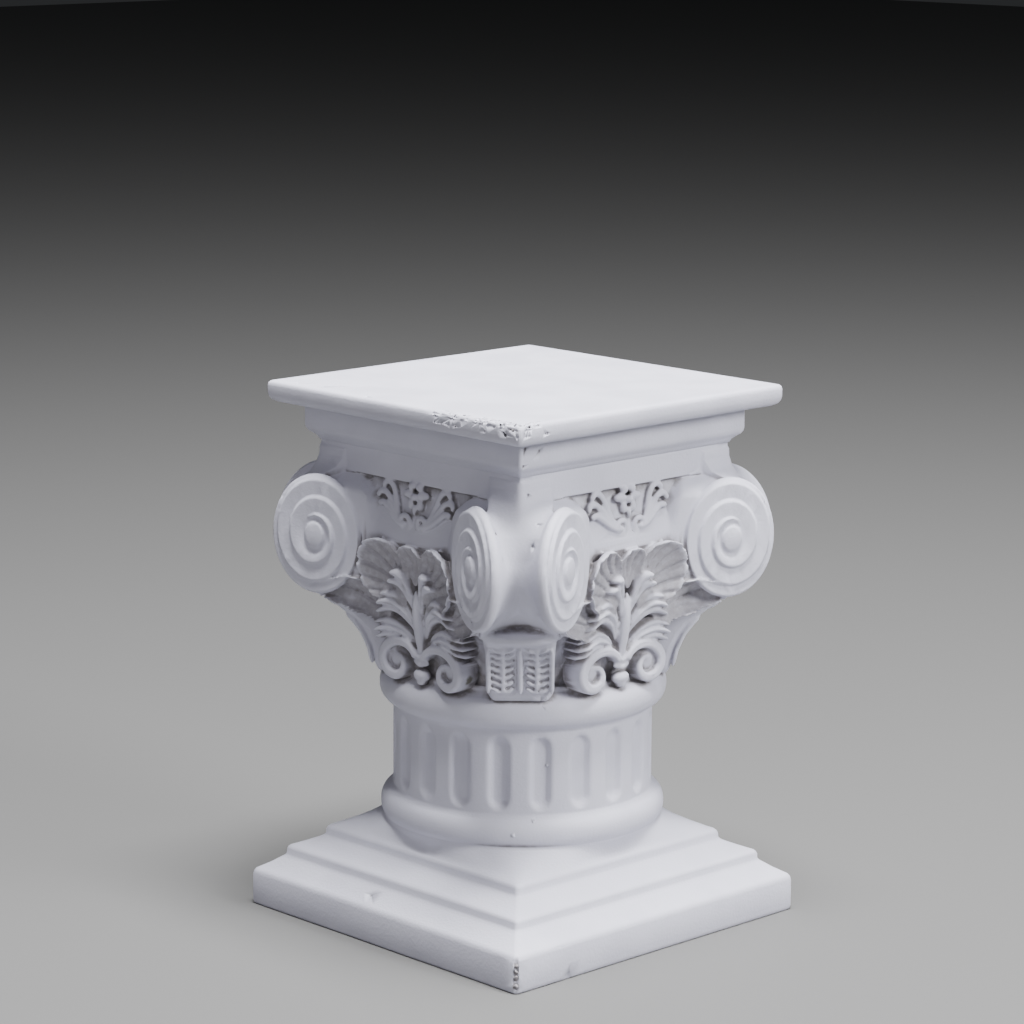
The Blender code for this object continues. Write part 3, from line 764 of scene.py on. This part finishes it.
def add_corner_block(shape):
    """Block, its ribs and chevrons, and the lip."""
    rings = []
    for up, reach, half in BLOCK_SECTIONS:
        rings.append([corner_point(lateral * half, reach - back, up) for lateral, back in
                      ((-0.92, 0.35), (-1.0, 0.035), (-0.88, 0.0), (0.88, 0.0), (1.0, 0.035), (0.92, 0.35))])
    loft(shape, rings)
    heights = [1.335 + 0.028 * i for i in range(10)]
    for lateral, radius in ((-0.157, 0.013), (-0.084, 0.011), (0.0, 0.015), (0.084, 0.011), (0.157, 0.013)):
        add_corner_rod(shape, [corner_point(lateral, block_reach(up) + 0.010, up) for up in heights], radius)
    for side in (-1, 1):
        for middle in (-0.084, 0.084):
            for step in range(7):
                foot = 1.335 + CHEVRON_STEP * step
                stroke = [(0.010, 0.0), (0.030, 0.012), (0.054, 0.026)]
                points = [corner_point(middle + side * a, block_reach(foot + u) + 0.010, foot + u)
                          for a, u in stroke]
                add_corner_rod(shape, points, RIB_RADIUS, 6)
    lip = [(-0.235, 0.80, 1.690, 0.020), (-0.205, 0.865, 1.682, 0.036), (-0.12, 0.925, 1.668, 0.045),
           (0.0, 0.945, 1.664, 0.046), (0.12, 0.925, 1.668, 0.045), (0.205, 0.865, 1.682, 0.036),
           (0.235, 0.80, 1.690, 0.020)]
    rings = []
    for lateral, reach, up, radius in smooth_path(lip, 4):
        rings.append([corner_point(lateral, reach + 1.5 * radius * math.cos(a), up + radius * math.sin(a))
                      for a in (2 * math.pi * k / 12 for k in range(12))])
    loft(shape, rings)


# Capital carving
# The carving of one face with the corner at its right, repeated round the axis, then melted into
# the bell the way a mould takes it: without seams and with small fillets in every hollow.
VOXEL = 0.00050


def mirrored(make, shape):
    """Make a form twice, as it is and mirrored across the middle of the face."""
    for flip in (1, -1):
        part = bmesh.new()
        make(part)
        bmesh.ops.scale(part, vec=(flip, 1, 1), verts=part.verts)
        mesh = bpy.data.meshes.new("part")
        part.to_mesh(mesh)
        part.free()
        shape.from_mesh(mesh)
        bpy.data.meshes.remove(mesh)


def repeat_tree():
    """Copies of the carving at equal angles round the upright axis."""
    tree = Tree("round_the_axis")
    carving_in = tree.add_input("Geometry", "Geometry")
    count = tree.add_input("Count", "Int", 4)
    finish = tree.add_input("Finish", "Material")
    points = tree.node("GeometryNodePoints", Count=count, Position=(0, 0, 0))
    index = tree.node("GeometryNodeInputIndex")
    step = tree.math("DIVIDE", 2 * math.pi, count)
    turn = tree.node("ShaderNodeCombineXYZ", Z=tree.math("MULTIPLY", index.outputs[0], step))
    rotation = tree.node("FunctionNodeEulerToRotation", Euler=turn.outputs[0])
    copies = tree.node("GeometryNodeInstanceOnPoints", Points=points.outputs[0], Instance=carving_in,
                       Rotation=rotation.outputs[0])
    solid = tree.node("GeometryNodeRealizeInstances", Geometry=copies.outputs[0])
    coated = tree.node("GeometryNodeSetMaterial", Geometry=solid.outputs[0], Material=finish)
    tree.tree.links.new(coated.outputs[0], tree.outlet.inputs[0])
    return tree


carving_shape = bmesh.new()
for make in (add_volute, add_leaves, add_foot_scroll, add_fleuron):
    mirrored(make, carving_shape)
for make in (add_valley, add_stem, add_collar, add_flower_heart, add_corner_block):
    make(carving_shape)
carving = add_piece("carving", carving_shape)
repeat_maker = repeat_tree()
repeat_nodes = carving.modifiers.new("repeat", "NODES")
repeat_nodes.node_group = repeat_maker.tree
repeat_nodes[repeat_maker.keys["Count"]] = 4
repeat_nodes[repeat_maker.keys["Finish"]] = resin
carving = bake_piece("carving", carving)

melt_shape = bmesh.new()
for part in (bell, carving):
    melt_shape.from_mesh(part.data)
    bpy.data.objects.remove(part)
capital = add_piece("capital", melt_shape)
melt = capital.modifiers.new("melt", "REMESH")
melt.mode = "VOXEL"
melt.voxel_size = VOXEL
soften = capital.modifiers.new("soften", "SMOOTH")
soften.factor = 0.5
soften.iterations = 1
thin = capital.modifiers.new("thin", "DECIMATE")
thin.ratio = 0.120
thin.use_collapse_triangulate = True
capital = bake_piece("capital", capital)


# The casting
# All of it is one piece of resin, so the parts join into one closed skin that stands for the
# pedestal.
pedestal = plinth
for name, part in (("drum", drum), ("capital", capital), ("top", top)):
    join = pedestal.modifiers.new(name, "BOOLEAN")
    join.operation = "UNION"
    join.solver = "MANIFOLD"
    join.object = part
pedestal = bake_piece("pedestal_casting", pedestal)
for part in (drum, capital, top):
    bpy.data.objects.remove(part)


# Flaws
# What went wrong or wore on this casting: air bubbles that broke the skin, a worn grain along the
# slab's near edge, nicks in the plinth's near corner, a hairline crack over the upper roll and
# three small pimples.
PINHOLES = [                    # x, y and height in modules
    (-0.749, -0.869, 2.767), (-0.578, -0.842, 2.767), (-0.191, -0.895, 2.768), (0.796, -0.761, 2.621),
    (0.796, -0.668, 2.600), (0.794, -0.772, 2.535), (0.755, -0.700, 2.382), (0.755, -0.912, 2.223),
    (0.862, -0.730, 2.259), (0.878, -0.785, 2.161), (-0.129, -0.934, 0.225), (0.267, -0.643, 1.495),
    (0.287, -0.641, 1.472),
]
PINHOLE_RADIUS = 0.0085
CRACK = [(0.612, -0.486, 1.356), (0.604, -0.458, 1.315), (0.581, -0.441, 1.272), (0.607, -0.426, 1.234)]
CRACK_RADIUS = 0.0035
PIMPLES = [(0.494, -0.538, 0.596, 0.010), (0.542, -0.447, 0.660, 0.007), (0.540, -0.350, 0.935, 0.009)]
GRAIN_EDGE = [                  # reach and height of the places across the edge where grains broke out
    (0.930, 2.712), (0.931, 2.742), (0.928, 2.756), (0.920, 2.765), (0.908, 2.768), (0.885, 2.767),
]
GRAIN_COUNT = 150
NICKS = [(1.004, -1.004, 0.168, 0.030), (1.006, -1.002, 0.130, 0.024), (1.000, -1.006, 0.098, 0.026),
         (1.005, -1.003, 0.062, 0.030), (1.002, -1.000, 0.022, 0.026), (1.010, -0.646, 0.004, 0.026),
         (1.012, -0.700, 0.190, 0.022)]


def add_pit(shape, place, radius, squeeze=1.0):
    """Small rough ball."""
    made = bmesh.ops.create_icosphere(shape, subdivisions=2 if radius > 0.008 else 1, radius=radius * MODULE)
    for vert in made["verts"]:
        bend = 1 + 0.25 * noise.noise(vert.co * 2500 + Vector(place))
        vert.co = Vector((vert.co.x, vert.co.y, vert.co.z * squeeze)) * bend + Vector(place) * MODULE


def join_piece(body, tool, operation):
    """Add one closed form to another, or cut it out."""
    step = body.modifiers.new("join", "BOOLEAN")
    step.operation = operation
    step.solver = "MANIFOLD"
    step.object = tool
    made = bake_piece("pedestal_casting", body)
    bpy.data.objects.remove(tool)
    return made


pits = bmesh.new()
for place in PINHOLES:
    add_pit(pits, place, PINHOLE_RADIUS)
for x, y, up, radius in NICKS:
    add_pit(pits, (x, y, up), radius, 1.5)
luck = np.random.default_rng(7)
for _ in range(GRAIN_COUNT):
    reach, up = GRAIN_EDGE[luck.integers(len(GRAIN_EDGE))]
    along = 0.93 - 0.62 * luck.random() ** 1.6
    radius = 0.0035 + 0.0050 * luck.random()
    place = (along, -reach, up) if luck.random() < 0.78 else (reach, -0.93 + 0.3 * (0.93 - along), up)
    add_pit(pits, place, radius)
crack_rim = [Vector((math.cos(a), math.sin(a), 0.4 * math.sin(a)))
             for a in (math.pi * k / 3 for k in range(6))]
loft(pits, [[Vector(start) * MODULE + CRACK_RADIUS * MODULE * point for point in crack_rim]
            for start in CRACK])
pedestal = join_piece(pedestal, add_piece("pits", pits), "DIFFERENCE")
pimples = bmesh.new()
for x, y, up, radius in PIMPLES:
    add_pit(pimples, (x, y, up), radius)
pedestal = join_piece(pedestal, add_piece("pimples", pimples), "UNION")
UNEVEN = 0.0030                 # share by which the sides waver, always inwards
for vert in pedestal.data.vertices:
    waver = 0.5 + 0.5 * noise.noise(vert.co * 24) + 0.12 * noise.noise(vert.co * 160)
    shrink = 1 - UNEVEN * min(1.0, max(0.0, waver))
    vert.co.x *= shrink
    vert.co.y *= shrink


# Resin finish
# Matt cool white resin, a little patchy and finely grained. The cupped leaves and every narrow gap
# are darkened grey, partly as grime and partly as painted shade where the carving keeps the light
# out, and one olive-brown spot of dirt sits beside the corner block.
SHELTER_REACH = 0.013
SHELTER_RAYS = 16
HOLLOW_REACH = 0.0009


# The two masks kept here drive the painted shade, with grime, in the resin's colour.
def mark_shelter(mesh):
    """Keep on each point how much of the open air over it the carving close by takes away."""
    places = [vert.co.copy() for vert in mesh.vertices]
    skin = BVHTree.FromPolygons(places, [face.vertices[:] for face in mesh.polygons])
    rays = []
    for i in range(SHELTER_RAYS):
        lift = math.sqrt(1 - (i + 0.5) / SHELTER_RAYS)
        angle = i * math.pi * (3 - math.sqrt(5))
        flat = math.sqrt(1 - lift * lift)
        rays.append(Vector((flat * math.cos(angle), flat * math.sin(angle), lift)))
    hollows = KDTree(len(leaf_hollows))
    for i, point in enumerate(leaf_hollows):
        hollows.insert(point, i)
    hollows.balance()
    values, leaf_values = [], []
    for vert in mesh.vertices:
        side = (vert.co.x, vert.co.y) if abs(vert.co.y) > abs(vert.co.x) else (vert.co.y, vert.co.x)
        gap = hollows.find(Vector((abs(side[0]), -abs(side[1]), vert.co.z)))[2]
        leaf_values.append(min(1.0, max(0.0, 1.6 - gap / HOLLOW_REACH)))
        turn = vert.normal.to_track_quat("Z", "Y").to_matrix()
        start = vert.co + 0.0003 * vert.normal
        hits = [skin.ray_cast(start, turn @ ray, SHELTER_REACH)[3] for ray in rays]
        values.append(sum(1 - hit / SHELTER_REACH for hit in hits if hit is not None) / SHELTER_RAYS)
    mesh.attributes.new("shelter", "FLOAT", "POINT").data.foreach_set("value", values)
    mesh.attributes.new("leaf_hollow", "FLOAT", "POINT").data.foreach_set("value", leaf_values)


RESIN_COLOUR = (0.545, 0.545, 0.635, 1)
PATCH_COLOUR = (0.515, 0.515, 0.605, 1)
# Grey of the grime and of the painted shade in narrow gaps and cupped leaf hollows.
GRIME_AND_SHADE_COLOUR = (0.190, 0.175, 0.178, 1)
DIRT_SPOT = (0.318, -0.660, 1.375)
DIRT_COLOUR = (0.085, 0.078, 0.038, 1)
CLOUD_SCALE = 45.0
SPECKLE_SCALE = 420.0
BUMP_SCALE = 900.0
BUMP_STRENGTH = 0.30
BUMP_DEPTH = 0.0004
mark_shelter(pedestal.data)
resin.use_nodes = True
resin_nodes, resin_links = resin.node_tree.nodes, resin.node_tree.links
resin_shader = resin_nodes["Principled BSDF"]


def add_node(kind, settings=None, links=None):
    """Node of the resin: its settings by name, and its sockets by number from values or other sockets."""
    made = resin_nodes.new(kind)
    for name, value in (settings or {}).items():
        setattr(made, name, value)
    for number, value in (links or {}).items():
        if isinstance(value, bpy.types.NodeSocket):
            resin_links.new(value, made.inputs[number])
        else:
            made.inputs[number].default_value = value
    return made


def add_noise(coords, scale, detail):
    """Cloudy pattern from 0 to 1."""
    made = add_node("ShaderNodeTexNoise", None, {"Vector": coords, "Scale": scale, "Detail": detail})
    return made.outputs["Fac"]


def add_range(value, low, high, start, end):
    """Soft ramp from one value to another."""
    made = add_node("ShaderNodeMapRange", {"clamp": True, "interpolation_type": "SMOOTHSTEP"},
                    {0: value, 1: low, 2: high, 3: start, 4: end})
    return made.outputs[0]


def add_math(operation, first, second, third=0.0):
    """Sum, product or the like of two or three values."""
    return add_node("ShaderNodeMath", {"operation": operation}, {0: first, 1: second, 2: third}).outputs[0]


def add_mix(share, first, second):
    """Colour between two others."""
    made = add_node("ShaderNodeMix", {"data_type": "RGBA"}, {0: share, 6: first, 7: second})
    return made.outputs[2]


coords = add_node("ShaderNodeTexCoord").outputs["Object"]
shelter = add_node("ShaderNodeAttribute", {"attribute_name": "shelter"}).outputs["Fac"]
leaf_hollow = add_node("ShaderNodeAttribute", {"attribute_name": "leaf_hollow"}).outputs["Fac"]
cloud = add_noise(coords, CLOUD_SCALE, 3.0)
speckle = add_noise(coords, SPECKLE_SCALE, 4.0)
patchy = add_mix(add_range(cloud, 0.35, 0.65, 0.0, 1.0), PATCH_COLOUR, RESIN_COLOUR)
# Painted shade with grime: points that the carving close by shelters, and the hollows of the cupped leaves,
# are darkened towards the grey.
gap_shade_and_grime = add_range(shelter, 0.14, 0.46, 0.0, 0.92)
leaf_shade_and_grime = add_range(leaf_hollow, 0.0, 1.0, 0.0, 0.62)
grime_and_shade = add_math("MULTIPLY", add_math("MAXIMUM", gap_shade_and_grime, leaf_shade_and_grime),
                   add_range(speckle, 0.30, 0.60, 0.70, 1.0))
grimed_and_shaded = add_mix(grime_and_shade, patchy, GRIME_AND_SHADE_COLOUR)
spot_middle = add_node("ShaderNodeVectorMath", {"operation": "DISTANCE"},
                       {0: coords, 1: tuple(MODULE * value for value in DIRT_SPOT)})
ragged = add_math("MULTIPLY_ADD", speckle, 0.0022, spot_middle.outputs["Value"])
dirty = add_mix(add_range(ragged, 0.0026, 0.0040, 0.85, 0.0), grimed_and_shaded, DIRT_COLOUR)
resin_links.new(dirty, resin_shader.inputs["Base Color"])
resin_links.new(add_range(cloud, 0.3, 0.7, 0.56, 0.70), resin_shader.inputs["Roughness"])
bump = add_node("ShaderNodeBump", None, {"Strength": BUMP_STRENGTH, "Distance": BUMP_DEPTH,
                                         "Height": add_noise(coords, BUMP_SCALE, 5.0)})
resin_links.new(bump.outputs[0], resin_shader.inputs["Normal"])
pedestal.data.materials.clear()
pedestal.data.materials.append(resin)
pedestal.data.shade_smooth()
print("casting triangles", sum(len(face.vertices) - 2 for face in pedestal.data.polygons))
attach(pedestal, "root")
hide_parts("column_pedestal")
